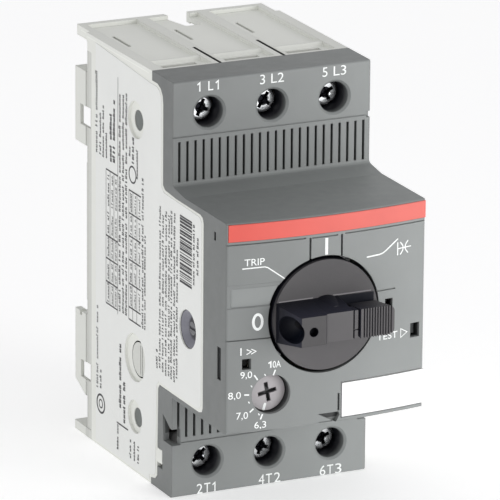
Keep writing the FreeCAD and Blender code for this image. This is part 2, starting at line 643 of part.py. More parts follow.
def drive_cam():
    """Drum with a flat sloping rear face: a quarter turn moves the follower by TRAVEL."""
    drum = rod_y(KNOB_X, -12.2, 2.0, KNOB_H, 6.5)
    ring = []
    for sx, sh in ((-1, -1), (1, -1), (1, 1), (-1, 1)):
        x = 10.0 * sx
        h = 10.0 * sh
        ring.append(vec(KNOB_X + x, RAMP_D - RAMP_SLOPE * (x + h), KNOB_H + h))
    face = Part.Face(Part.makePolygon(ring + [ring[0]]))
    waste = face.extrude(FreeCAD.Vector(0, 30, 0))
    return cut(drum, [waste, rod_y(KNOB_X, -20.0, -9.0, KNOB_H, 2.5)])


# ---- setting dial -------------------------------------------------------------------
def setting_dial():
    face_d = PANEL_D - bow(DIAL_X) + 1.9
    disc = rod_y(DIAL_X, face_d, face_d + 2.4, DIAL_H, DIAL_R)
    shaft = rod_y(DIAL_X, face_d + 2.0, -16.0, DIAL_H, 1.6)
    body = fuse([disc, shaft])
    slots = []
    for angle in (10.5, 100.5):
        slot = box(DIAL_X - 2.1, DIAL_X + 2.1, face_d - 1.0, face_d + 1.5, DIAL_H - 0.45, DIAL_H + 0.45)
        slot.rotate(vec(DIAL_X, 0, DIAL_H), Y_DIR, -angle)
        slots.append(slot)
    return cut(body, slots)


def setting_cam():
    return rod_y(DIAL_X - CAM_OFFSET, -16.0, -14.2, DIAL_H, CAM_R)


# ---- small moving pieces ------------------------------------------------------------
def test_slide():
    head = box(19.4, 20.8, -24.9, -23.0, 38.0, 40.3)
    tail = box(18.0, 20.8, -23.2, -13.8, 37.2, 40.9)
    return fuse([head, tail])


def fault_flag():
    return box(-20.6, -16.4, -23.3, -22.6, 35.3, 38.9)


def rail_latch():
    stem = box(-6.7, 6.7, 44.5, 47.3, 6.0, 27.2)
    tooth = side_prism([(45.7, 27.0), (45.7, 30.4), (47.0, 30.4), (49.4, 28.2), (49.4, 24.0), (45.7, 24.0)],
                       -6.7, 6.7)
    tab = box(-4.0, 4.0, 44.5, 49.4, 4.6, 7.0)
    slot = box(-2.0, 2.0, 44.0, 48.0, 8.4, 11.0)
    well = box(-2.7, 2.7, 44.0, 46.3, 14.2, 24.2)
    return cut(fuse([stem, tooth, tab]), [slot, well])


def latch_spring():
    return ring_stack(0.0, 44.6, 14.9, Z_DIR, 6, 1.74, 1.25, 0.28)


# ---- terminals ------------------------------------------------------------------------
def terminal_screw(x, h, angle):
    head = rod_y(x, 4.4, 6.1, h, 2.8)
    rim = []
    for edge in head.Edges:
        if edge.Closed and abs(edge.BoundBox.YMax - (4.4 - SEAT_DEPTH)) < 1e-6:
            rim.append(edge)
    head = head.makeFillet(0.7, rim)
    shank = rod_y(x, 6.0, 10.2, h, 2.0)
    body = fuse([head, shank])
    cuts = []
    for turn, half_len, half_wid in ((angle, 3.1, 0.42), (angle + 90.0, 1.9, 0.42)):
        slot = box(x - half_len, x + half_len, 3.8, 5.4, h - half_wid, h + half_wid)
        slot.rotate(vec(x, 0, h), Y_DIR, turn)
        cuts.append(slot)
    cone = Part.makeCone(1.25, 0.5, 1.4, vec(x, 4.35, h), Y_DIR)
    return cut(body, cuts + [cone])


def clamp_cage(x, h, low, high):
    """Box clamp: threaded front wall, two cheeks and the floor that lifts the wire."""
    outer = box(x - 4.8, x + 4.8, 8.8, 17.2, low, high)
    window = box(x - 3.9, x + 3.9, 10.3, 16.1, low - 1, high + 1)
    bore = rod_y(x, 8.0, 11.0, h, 2.05)
    return cut(outer, [window, bore])


# ---- write every part --------------------------------------------------------------------
save("rear_housing", rear_housing())
save("front_cover", front_cover())
save("red_band", red_band())
save("marking_plate", marking_plate())
save("side_label", side_label())
save("housing_pins", housing_pins())
save("seal_plugs", seal_plugs())
save("line_conductors", line_conductors())
save("load_conductors", load_conductors())
save("coil_windings", coil_windings())
save("coil_bobbins", coil_bobbins())
save("coil_cores", coil_cores())
save("coil_yokes", coil_yokes())
save("fixed_contacts_line", fixed_contacts(True))
save("fixed_contacts_load", fixed_contacts(False))
save("arc_plates", arc_plates())
save("arc_frames", arc_frames())
save("bimetal_strips", bimetal_strips())
save("heater_windings", heater_windings())
save("trip_slider", trip_slider())
save("compensation_strip", compensation_strip())
save("trip_bar", trip_bar())
save("latch_lever", latch_lever())
save("mechanism_frame", mechanism_frame())
save("handle_spring", handle_spring())
save("contact_carrier", contact_carrier())
save("contact_springs", contact_springs())
save("handle_knob", handle_knob())
save("lock_slide", lock_slide())
save("handle_shaft", handle_shaft())
save("drive_cam", drive_cam())
save("setting_dial", setting_dial())
save("setting_cam", setting_cam())
save("test_slide", test_slide())
save("fault_flag", fault_flag())
save("rail_latch", rail_latch())
save("latch_spring", latch_spring())
SCREW_ANGLES = {"line": (22.0, 35.0, 62.0), "load": (48.0, 15.0, 70.0)}
for index, pole_x in enumerate(POLES):
    number = str(index + 1)
    save("plunger_" + number, plunger(pole_x))
    save("contact_bridge_" + number, contact_bridge(pole_x))
    line_angle = SCREW_ANGLES["line"][index]
    load_angle = SCREW_ANGLES["load"][index]
    save("line_screw_" + number, terminal_screw(pole_x, UPPER_SCREW_H, line_angle))
    save("load_screw_" + number, terminal_screw(pole_x, LOWER_SCREW_H, load_angle))
    save("line_cage_" + number, clamp_cage(pole_x, UPPER_SCREW_H, 78.6, 86.4))
    save("load_cage_" + number, clamp_cage(pole_x, LOWER_SCREW_H, 2.6, 11.4))
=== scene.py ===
import bpy
import json
import math
import random
from mathutils import Matrix, Vector

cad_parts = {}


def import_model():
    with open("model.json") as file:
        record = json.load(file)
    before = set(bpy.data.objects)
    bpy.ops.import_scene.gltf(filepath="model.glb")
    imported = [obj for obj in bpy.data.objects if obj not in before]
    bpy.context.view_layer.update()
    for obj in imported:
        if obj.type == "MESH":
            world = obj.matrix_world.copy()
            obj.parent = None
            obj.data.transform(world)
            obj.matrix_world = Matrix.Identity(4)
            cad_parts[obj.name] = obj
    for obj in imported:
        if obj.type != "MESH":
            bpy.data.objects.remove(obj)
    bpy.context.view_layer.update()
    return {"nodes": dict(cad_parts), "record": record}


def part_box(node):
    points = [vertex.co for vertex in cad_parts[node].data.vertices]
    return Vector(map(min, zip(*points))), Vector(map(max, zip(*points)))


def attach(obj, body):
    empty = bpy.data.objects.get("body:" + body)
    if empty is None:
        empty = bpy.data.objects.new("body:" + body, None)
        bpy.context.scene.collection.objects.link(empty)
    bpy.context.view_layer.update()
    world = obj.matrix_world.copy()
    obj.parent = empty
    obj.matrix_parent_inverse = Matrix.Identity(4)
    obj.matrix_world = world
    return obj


# Looks of the motor protection breaker. Lengths in this file are in millimetres until mm()
# turns them into metres. A point is given as (x, d, h): d is the depth behind the terminal
# face and h is the height above the underside, as in the part's own source.

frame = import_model()
NODES = frame["nodes"]

SEAT_DEPTH = 44.2
RAIL_H = 46.0
PANEL_D = -26.2
BULGE = 1.8
HALF = 22.5
BOW_RADIUS = (HALF ** 2 + BULGE ** 2) / (2.0 * BULGE)
POLES = (-14.3, 0.0, 14.3)
HALF_PITCH = 7.15
SCREW_HEIGHTS = (82.8, 7.1)
LABEL_X = -22.62
HANDLE_X = -1.1
DISC_H = 45.8
GRIP_H = 45.3
DIAL_X = -12.8
DIAL_SUNK = 1.9
DISHED_PLUG = (-7.8, 39.4)
SLOTTED_PLUG = (17.3, 25.3)


def mm(x, d, h):
    return Vector((x, d - SEAT_DEPTH, h - RAIL_H)) * 0.001


def bow(x):
    """How far the panel bulges forward at x."""
    return math.sqrt(BOW_RADIUS ** 2 - x ** 2) - (BOW_RADIUS - BULGE)


DIAL_FACE_D = PANEL_D - bow(DIAL_X) + DIAL_SUNK


# ---- materials --------------------------------------------------------------
class Nodes:
    """A material with its node tree and short ways to add to it."""

    def __init__(self, name):
        self.mat = bpy.data.materials.new(name)
        self.mat.use_nodes = True
        self.tree = self.mat.node_tree
        self.shader = self.tree.nodes["Principled BSDF"]
        self.coord = self.add("ShaderNodeTexCoord").outputs["Object"]

    def add(self, kind, **inputs):
        node = self.tree.nodes.new(kind)
        for key, value in inputs.items():
            name = key.replace("_", " ")
            if hasattr(value, "is_linked"):
                self.tree.links.new(value, node.inputs[name])
            else:
                node.inputs[name].default_value = value
        return node

    def link(self, a, b):
        self.tree.links.new(a, b)

    def noise(self, scale, detail=2.0, rough=0.5, stretch=None):
        vector = self.coord
        if stretch:
            mapping = self.add("ShaderNodeMapping", Vector=vector, Scale=stretch)
            vector = mapping.outputs["Vector"]
        return self.add("ShaderNodeTexNoise", Vector=vector, Scale=scale, Detail=detail,
                        Roughness=rough).outputs["Fac"]

    def span(self, value, low, high, start=0.3, end=0.7):
        node = self.add("ShaderNodeMapRange", Value=value, From_Min=start, From_Max=end,
                        To_Min=low, To_Max=high)
        return node.outputs["Result"]

    def math(self, operation, a, b=None, c=None):
        node = self.add("ShaderNodeMath")
        node.operation = operation
        for i, value in enumerate((a, b, c)):
            if value is None:
                continue
            if hasattr(value, "is_linked"):
                self.link(value, node.inputs[i])
            else:
                node.inputs[i].default_value = value
        return node.outputs[0]

    def mix(self, factor, a, b, blend="MIX"):
        node = self.add("ShaderNodeMix")
        node.data_type = "RGBA"
        node.blend_type = blend
        for socket, value in ((node.inputs[0], factor), (node.inputs[6], a), (node.inputs[7], b)):
            if hasattr(value, "is_linked"):
                self.link(value, socket)
            elif isinstance(value, (int, float)):
                socket.default_value = value
            else:
                socket.default_value = (*value[:3], 1.0)
        return node.outputs[2]

    def xyz(self):
        node = self.add("ShaderNodeSeparateXYZ", Vector=self.coord)
        return node.outputs


def scaled(color, k):
    return tuple(min(1.0, c * k) for c in color)


def finish_surface(n, color, roughness, grain, depth, round_edge, spread=0.05):
    """Links colour, roughness and a fine grain bump to the shader."""
    n.link(color, n.shader.inputs["Base Color"])
    rough = n.span(n.noise(420.0, 3.0), roughness - spread, roughness + spread)
    n.link(rough, n.shader.inputs["Roughness"])
    bump = n.add("ShaderNodeBump", Height=n.noise(grain, 2.0), Strength=depth, Distance=0.00012)
    if round_edge:
        bevel = n.add("ShaderNodeBevel", Radius=round_edge * 0.001)
        bevel.samples = 4
        n.link(bevel.outputs["Normal"], bump.inputs["Normal"])
    n.link(bump.outputs["Normal"], n.shader.inputs["Normal"])


def plastic(name, color, roughness=0.5, grain=2600.0, depth=0.12, tone=0.04, round_edge=0.15):
    n = Nodes(name)
    patch = n.span(n.noise(90.0, 3.0), 0.0, 1.0)
    base = n.mix(patch, scaled(color, 1.0 - tone), scaled(color, 1.0 + tone))
    finish_surface(n, base, roughness, grain, depth, round_edge)
    return n


def metal(name, color, roughness=0.28, stretch=None):
    n = Nodes(name)
    n.shader.inputs["Metallic"].default_value = 1.0
    patch = n.span(n.noise(500.0, 4.0, 0.6, stretch), 0.0, 1.0)
    base = n.mix(patch, scaled(color, 0.92), scaled(color, 1.08))
    finish_surface(n, base, roughness, 1800.0, 0.15, 0.0, 0.08)
    return n


def ink(name, color):
    n = Nodes(name)
    patch = n.span(n.noise(900.0, 3.0), 0.0, 1.0)
    base = n.mix(patch, scaled(color, 0.92), scaled(color, 1.08))
    finish_surface(n, base, 0.55, 3000.0, 0.05, 0.0)
    return n.mat


def within(n, value, low, high):
    """1 where value lies between low and high, else 0."""
    over = n.math("GREATER_THAN", value, low)
    return n.math("MULTIPLY", over, n.math("LESS_THAN", value, high))


def height_m(h):
    return (h - RAIL_H) * 0.001


def depth_m(d):
    return (d - SEAT_DEPTH) * 0.001


def handle_m(x):
    """x counted from the handle's axis."""
    return (HANDLE_X + x) * 0.001


def distance(n, a, b):
    """Length of the vector (a, b)."""
    squares = n.math("ADD", n.math("POWER", a, 2.0), n.math("POWER", b, 2.0))
    return n.math("SQRT", squares)


def around_plug(n, y, z, plug):
    """Distance in the side wall from the axis of a round plug."""
    return distance(n, n.math("SUBTRACT", y, depth_m(plug[0])), n.math("SUBTRACT", z, height_m(plug[1])))


def around_screws(n, x, z, radius):
    """1 within radius of a terminal screw's axis, else 0; WRAP folds the three poles onto one."""
    side = n.math("WRAP", x, HALF_PITCH * 0.001, -HALF_PITCH * 0.001)
    discs = []
    for height in SCREW_HEIGHTS:
        far = distance(n, side, n.math("SUBTRACT", z, height_m(height)))
        discs.append(n.math("LESS_THAN", far, radius))
    return n.math("MAXIMUM", *discs)


def toned(n, color, value):
    """color multiplied by a grey value."""
    gray = n.add("ShaderNodeCombineXYZ", X=value, Y=value, Z=value).outputs[0]
    return n.mix(1.0, color, gray, "MULTIPLY")


def cover_gray():
    """Mid grey moulding; the screw wells, grille slots, grooves and openings fall into shade."""
    color = (0.218, 0.229, 0.226)
    n = Nodes("look_cover_gray")
    patch = n.span(n.noise(90.0, 3.0), 0.0, 1.0)
    base = n.mix(patch, scaled(color, 0.975), scaled(color, 1.025))
    x, y, z = n.xyz()
    # painted light and shade: the grey is painted darker on the left and paler on the right, a little paler
    # low down, and darker on the top face and on the side walls
    base = toned(n, base, n.span(x, 0.84, 1.14, -0.020, 0.020))
    base = toned(n, base, n.span(z, 1.10, 1.04, height_m(22.0), height_m(62.0)))
    base = toned(n, base, n.span(z, 1.0, 0.935, height_m(67.0), height_m(68.0)))
    base = toned(n, base, n.span(n.math("ABSOLUTE", x), 1.0, 0.86, 0.02230, 0.02245))
    # grille slots
    rows = n.math("ADD", within(n, z, height_m(68.5), height_m(77.3)),
                  within(n, z, height_m(13.0), height_m(22.2)))
    slot = n.math("MULTIPLY", n.span(y, 0.0, 1.0, depth_m(0.1), depth_m(0.7)), rows)
    slot = n.math("MULTIPLY", slot, within(n, x, -0.0220, 0.0220))
    base = n.mix(n.math("MULTIPLY", slot, 0.75), base, (0.020, 0.022, 0.022))
    # painted light: the flat pane left of the handle is painted a little paler
    pane = n.math("MULTIPLY", within(n, x, -0.0215, -0.0110), within(n, z, height_m(49.1), height_m(53.1)))
    pane = n.math("MULTIPLY", pane, n.math("LESS_THAN", y, depth_m(-25.0)))
    base = toned(n, base, n.span(pane, 1.0, 1.22, 0.0, 1.0))
    # grooves and openings in the curved panel
    square = n.math("MULTIPLY", x, x)
    face = n.math("MULTIPLY_ADD", square, 500.0 / BOW_RADIUS, depth_m(PANEL_D - BULGE))
    depth = n.math("SUBTRACT", y, face)
    sunk = n.span(depth, 0.0, 1.0, 0.0006, 0.0011)
    sunk = n.math("MULTIPLY", sunk, within(n, z, height_m(23.0), height_m(66.2)))
    sunk = n.math("MULTIPLY", sunk, within(n, x, -0.02235, 0.02235))
    base = n.mix(n.math("MULTIPLY", sunk, 0.85), base, (0.012, 0.013, 0.014))
    # screw wells
    well = around_screws(n, x, z, 0.00338)
    well = n.math("MULTIPLY", well, n.span(y, 0.0, 1.0, depth_m(0.15), depth_m(2.6)))
    base = n.mix(well, base, (0.008, 0.008, 0.014))
    finish_surface(n, base, 0.52, 2600.0, 0.10, 0.15)
    return n.mat


def handle_dark():
    """Anthracite moulding; the faces that look forward are painted a little paler and the flanks darker, as
    painted light and shade.
    """
    n = Nodes("look_handle_dark")
    x, y, z = n.xyz()
    facing = n.add("ShaderNodeTexCoord").outputs["Normal"]
    parts = n.add("ShaderNodeSeparateXYZ", Vector=facing).outputs
    front = n.span(n.math("MULTIPLY", parts[1], -1.0), 0.0, 1.0, 0.2, 0.85)
    patch = n.span(n.noise(120.0, 3.0), 0.0, 1.0)
    face = n.mix(patch, (0.072, 0.068, 0.072), (0.080, 0.076, 0.079))
    # painted shade: the front of the raised part of the grip is painted darker
    raised_shade = n.math("MULTIPLY", n.math("LESS_THAN", x, 0.0), n.math("LESS_THAN", y, depth_m(-35.8)))
    raised_shade = n.math("MULTIPLY", raised_shade, n.math("LESS_THAN", x, handle_m(-3.4)))
    face = toned(n, face, n.span(raised_shade, 1.0, 0.60, 0.0, 1.0))
    # painted shade: the disc's face is darker towards its top
    disc = n.math("GREATER_THAN", y, depth_m(-30.0))
    upper = n.math("MULTIPLY", disc, n.span(z, 0.0, 1.0, height_m(45.0), height_m(52.0)))
    face = toned(n, face, n.span(upper, 1.0, 0.76, 0.0, 1.0))
    # painted shade: the flanks get a dark copy of the colour, darker still towards the disc
    flank = n.mix(patch, (0.019, 0.021, 0.033), (0.025, 0.026, 0.040))
    flank = toned(n, flank, n.span(y, 1.0, 0.35, depth_m(-35.5), depth_m(-29.5)))
    # painted light: the padlock slide's sides are paler than the grip's, more so to the right
    slide = n.math("GREATER_THAN", x, handle_m(4.2))
    slide = n.math("MULTIPLY", slide, n.span(x, 0.1, 1.0, handle_m(5.0), handle_m(11.5)))
    flank = n.mix(slide, flank, (0.095, 0.093, 0.097))
    # the low foot between the grip and the slide lies in their shade
    foot = n.math("MULTIPLY", within(n, y, depth_m(-28.95), depth_m(-28.71)),
                  n.math("GREATER_THAN", x, handle_m(2.3)))
    face = n.mix(foot, face, (0.008, 0.009, 0.014))
    # painted light: the disc's rim gets a paler flank colour, about as pale as its face
    wide = n.math("SUBTRACT", x, handle_m(0.0))
    high = n.math("SUBTRACT", z, height_m(DISC_H))
    rim = n.math("GREATER_THAN", distance(n, wide, high), 0.01160)
    rim = n.math("MULTIPLY", rim, within(n, y, depth_m(-28.4), depth_m(-27.5)))
    flank = n.mix(rim, flank, (0.060, 0.058, 0.062))
    # painted highlight: a fine bright line runs along the top edge of the grip's root
    root_highlight = n.math("ADD", within(n, x, handle_m(-10.6), handle_m(-2.9)),
                  within(n, x, handle_m(1.6), handle_m(10.3)))
    root_highlight = n.math("MULTIPLY", root_highlight, within(n, z, height_m(49.60), height_m(49.86)))
    root_highlight = n.math("MULTIPLY", root_highlight, n.math("GREATER_THAN", y, depth_m(-28.5)))
    face = n.mix(root_highlight, face, (0.20, 0.19, 0.20))
    base = n.mix(front, flank, face)
    # finger pit and eye are hollows that hold no light
    across = n.math("SUBTRACT", x, handle_m(-10.08))
    along = n.math("SUBTRACT", y, depth_m(-33.2))
    aside = n.math("SUBTRACT", n.math("MULTIPLY", across, 0.888), n.math("MULTIPLY", along, 0.46))
    up = n.math("SUBTRACT", z, height_m(GRIP_H))
    pit = n.math("LESS_THAN", distance(n, aside, up), 0.00277)
    pit = n.math("MULTIPLY", pit, n.math("LESS_THAN", y, depth_m(-28.2)))
    pit = n.math("MULTIPLY", pit, n.math("LESS_THAN", x, handle_m(-5.0)))
    base = n.mix(n.math("MULTIPLY", pit, 0.85), base, (0.007, 0.009, 0.016))
    beside = n.math("SUBTRACT", x, handle_m(-6.65))
    near = n.math("LESS_THAN", distance(n, beside, up), 0.00103)
    eye = n.math("MULTIPLY", near, n.math("GREATER_THAN", y, depth_m(-36.6)))
    base = n.mix(eye, base, (0.004, 0.004, 0.007))
    finish_surface(n, base, 0.44, 2200.0, 0.14, 0.16)
    # hollows and flanks shine less than the faces that look forward
    dull = n.math("MAXIMUM", n.math("MAXIMUM", pit, eye), foot)
    shine = n.math("MULTIPLY", front, n.span(dull, 1.0, 0.15, 0.0, 1.0))
    n.link(n.span(shine, 0.08, 0.5, 0.0, 1.0), n.shader.inputs["Specular IOR Level"])
    return n.mat


def band_red():
    """Satin red strip, paler towards the right where it turns to the light."""
    n = Nodes("look_band_red")
    along = n.span(n.xyz()[0], 0.0, 1.0, -0.0225, 0.020)
    base = n.mix(along, (0.66, 0.086, 0.066), (0.69, 0.142, 0.118))
    base = toned(n, base, n.span(n.noise(160.0, 2.0), 0.97, 1.03))
    finish_surface(n, base, 0.38, 2200.0, 0.05, 0.10)
    return n.mat


def housing_white():
    """Light grey-white moulding with faint flow marks; feet, hollows and slits lie in shade."""
    color = (0.80, 0.81, 0.765)
    n = Nodes("look_housing_white")
    patch = n.span(n.noise(60.0, 4.0, 0.55, (1.0, 0.35, 1.0)), 0.0, 1.0)
    base = n.mix(patch, scaled(color, 0.965), scaled(color, 1.02))
    x, y, z = n.xyz()
    # the rail feet and the back edge of the side walls lie in shade
    below = n.math("LESS_THAN", z, height_m(86.0))
    back = n.math("MULTIPLY", within(n, y, depth_m(41.4), depth_m(44.6)), below)
    base = toned(n, base, n.span(back, 1.0, 0.80, 0.0, 1.0))
    foot = n.math("MULTIPLY", n.math("GREATER_THAN", y, depth_m(42.9)), below)
    base = toned(n, base, n.span(foot, 1.0, 0.92, 0.0, 1.0))
    # hole that the dished plug sits in
    hole = n.math("LESS_THAN", around_plug(n, y, z, DISHED_PLUG), 0.0043)
    hole = n.math("MULTIPLY", hole, within(n, x, -0.0223, 0.0223))
    base = n.mix(hole, base, (0.065, 0.060, 0.070))
    # narrow gap around the round slotted plug
    ring = n.math("LESS_THAN", around_plug(n, y, z, SLOTTED_PLUG), 0.00412)
    ring = n.math("MULTIPLY", ring, within(n, x, -0.02198, 0.02198))
    base = n.mix(ring, base, (0.10, 0.115, 0.105))
    # bay floors catch more light than the walls around them
    bay = within(n, z, height_m(89.02), height_m(89.2))
    bay = n.math("MULTIPLY", bay, within(n, y, depth_m(12.0), depth_m(49.0)))
    base = toned(n, base, n.span(bay, 1.0, 1.10, 0.0, 1.0))
    # slits in the top
    deep = within(n, z, height_m(88.2), height_m(88.9))
    deep = n.math("MULTIPLY", deep, within(n, y, depth_m(22.0), depth_m(43.0)))
    deep = n.math("MULTIPLY", deep, within(n, x, -0.0190, 0.0190))
    base = n.mix(n.math("MULTIPLY", deep, 0.5), base, (0.45, 0.45, 0.43))
    for middle in (-6.9, 7.7):
        slit = n.math("MULTIPLY", within(n, x, (middle - 0.36) * 0.001, (middle + 0.36) * 0.001),
                      within(n, z, height_m(88.2), height_m(89.96)))
        base = n.mix(slit, base, (0.05, 0.05, 0.05))
    finish_surface(n, base, 0.50, 2400.0, 0.08, 0.18)
    return n.mat


def pin_gray():
    """Dark grey-green pins; the dished plug is a violet grey with a dark screw in it."""
    n = Nodes("look_pin_gray")
    patch = n.span(n.noise(120.0, 3.0), 0.0, 1.0)
    base = n.mix(patch, (0.100, 0.113, 0.107), (0.110, 0.123, 0.117))
    x, y, z = n.xyz()
    far = around_plug(n, y, z, DISHED_PLUG)
    dish = n.mix(patch, (0.205, 0.205, 0.240), (0.225, 0.225, 0.262))
    inner = n.span(far, 1.0, 0.0, 0.0022, 0.0026)
    dish = n.mix(inner, dish, (0.030, 0.030, 0.038))
    screw = n.math("LESS_THAN", far, 0.0015)
    dish = n.mix(n.math("MULTIPLY", screw, 0.8), dish, (0.16, 0.16, 0.17))
    base = n.mix(n.math("LESS_THAN", far, 0.0045), base, dish)
    finish_surface(n, base, 0.36, 2200.0, 0.08, 0.1)
    return n.mat


def plug_gray():
    """Light grey plug; its slots are painted dark as shade."""
    n = Nodes("look_plug_gray")
    patch = n.span(n.noise(90.0, 3.0), 0.0, 1.0)
    base = n.mix(patch, (0.62, 0.63, 0.595), (0.65, 0.66, 0.62))
    # painted shade in the slots, below the plug's face
    slot = n.math("LESS_THAN", n.math("ABSOLUTE", n.xyz()[0]), 0.02195)
    base = n.mix(slot, base, (0.11, 0.13, 0.12))
    finish_surface(n, base, 0.5, 2400.0, 0.08, 0.1)
    return n.mat


def dial_gray():
    """Mid grey dial whose cross slot lies in shade."""
    n = Nodes("look_dial_gray")
    patch = n.span(n.noise(90.0, 3.0), 0.0, 1.0)
    base = n.mix(patch, (0.37, 0.35, 0.36), (0.39, 0.37, 0.38))
    y = n.xyz()[1]
    slot = n.span(y, 0.0, 1.0, depth_m(DIAL_FACE_D + 0.15), depth_m(DIAL_FACE_D + 0.6))
    base = n.mix(n.math("MULTIPLY", slot, 0.9), base, (0.03, 0.03, 0.032))
    finish_surface(n, base, 0.5, 2600.0, 0.12, 0.12)
    return n.mat


def screw_zinc():
    """Bright plated screw head; the recess and the thread behind it are painted dark as shade."""
    n = Nodes("look_screw_zinc")
    n.shader.inputs["Metallic"].default_value = 0.85
    x, y, z = n.xyz()
    patch = n.span(n.noise(700.0, 3.0), 0.0, 1.0)
    base = n.mix(patch, (0.62, 0.64, 0.66), (0.95, 0.96, 0.97))
    # painted shade in the recess and on the thread behind the head
    slot = n.span(y, 0.0, 1.0, depth_m(4.62), depth_m(4.8))
    core = around_screws(n, x, z, 0.0023)
    base = n.mix(n.math("MULTIPLY", slot, core), base, (0.010, 0.010, 0.014))
    finish_surface(n, base, 0.20, 900.0, 0.25, 0.0, 0.08)
    return n.mat


def copper_wire():
    n = metal("look_copper_wire", (0.72, 0.30, 0.14), 0.30)
    n.shader.inputs["Coat Weight"].default_value = 0.6
    return n.mat


LOOKS = {
    "housing_white": housing_white(),
    "cover_gray": cover_gray(),
    "band_red": band_red(),
    "plate_white": plastic("look_plate_white", (0.90, 0.90, 0.90), 0.35, 1800.0, 0.05, 0.02, 0.1).mat,
    "label_paper": plastic("look_label_paper", (0.80, 0.81, 0.79), 0.45, 1500.0, 0.06, 0.015, 0.0).mat,
    "steel": metal("look_steel", (0.60, 0.61, 0.62), 0.30, stretch=(1.0, 1.0, 0.1)).mat,
    "pin_gray": pin_gray(),
    "plug_gray": plug_gray(),
    "copper": metal("look_copper", (0.80, 0.44, 0.28), 0.26).mat,
    "copper_wire": copper_wire(),
    "bobbin_black": plastic("look_bobbin_black", (0.035, 0.035, 0.038), 0.45).mat,
    "core_iron": metal("look_core_iron", (0.34, 0.34, 0.35), 0.38).mat,
    "fibre": plastic("look_fibre", (0.34, 0.10, 0.05), 0.7, 1200.0, 0.3, 0.12).mat,
    "bimetal": metal("look_bimetal", (0.60, 0.56, 0.48), 0.30, stretch=(1.0, 1.0, 0.1)).mat,
    "heater_alloy": metal("look_heater_alloy", (0.42, 0.38, 0.34), 0.36).mat,
    "slider_amber": plastic("look_slider_amber", (0.55, 0.33, 0.11), 0.45, tone=0.08).mat,
    "spring_steel": metal("look_spring_steel", (0.52, 0.53, 0.55), 0.24).mat,
    "carrier_black": plastic("look_carrier_black", (0.030, 0.030, 0.034), 0.42).mat,
    "handle_dark": handle_dark(),
    "cam_cream": plastic("look_cam_cream", (0.72, 0.66, 0.50), 0.4).mat,
    "dial_gray": dial_gray(),
    "test_dark": plastic("look_test_dark", (0.05, 0.055, 0.055), 0.5).mat,
    "flag_yellow": plastic("look_flag", (0.16, 0.165, 0.16), 0.45).mat,
    "latch_gray": plastic("look_latch_gray", (0.16, 0.165, 0.165), 0.5).mat,
    "screw_zinc": screw_zinc(),
    "cage_steel": metal("look_cage_steel", (0.56, 0.56, 0.55), 0.32).mat,
}
for part in frame["record"]["subparts"]:
    node = NODES[part["node"]]
    look = LOOKS[part["material_slot"]]
    if not node.data.materials:
        node.data.materials.append(look)
    for i in range(len(node.data.materials)):
        node.data.materials[i] = look

WHITE_INK = ink("look_white_ink", (0.86, 0.88, 0.87))
BLACK_INK = ink("look_black_ink", (0.030, 0.030, 0.034))
PALE_INK = ink("look_pale_ink", (0.16, 0.16, 0.16))
GREY_INK = ink("look_grey_ink", (0.040, 0.040, 0.044))


# ---- printed marks --------------------------------------------------------------
def on_panel(u, v, lift):
    return mm(u, PANEL_D - bow(u) - lift, v)


def on_face(u, v, lift):
    return mm(u, -lift, v)


def on_side(u, v, lift):
    """u runs to the front of the left wall, so u = -d."""
    return mm(LABEL_X - lift, -u, v)


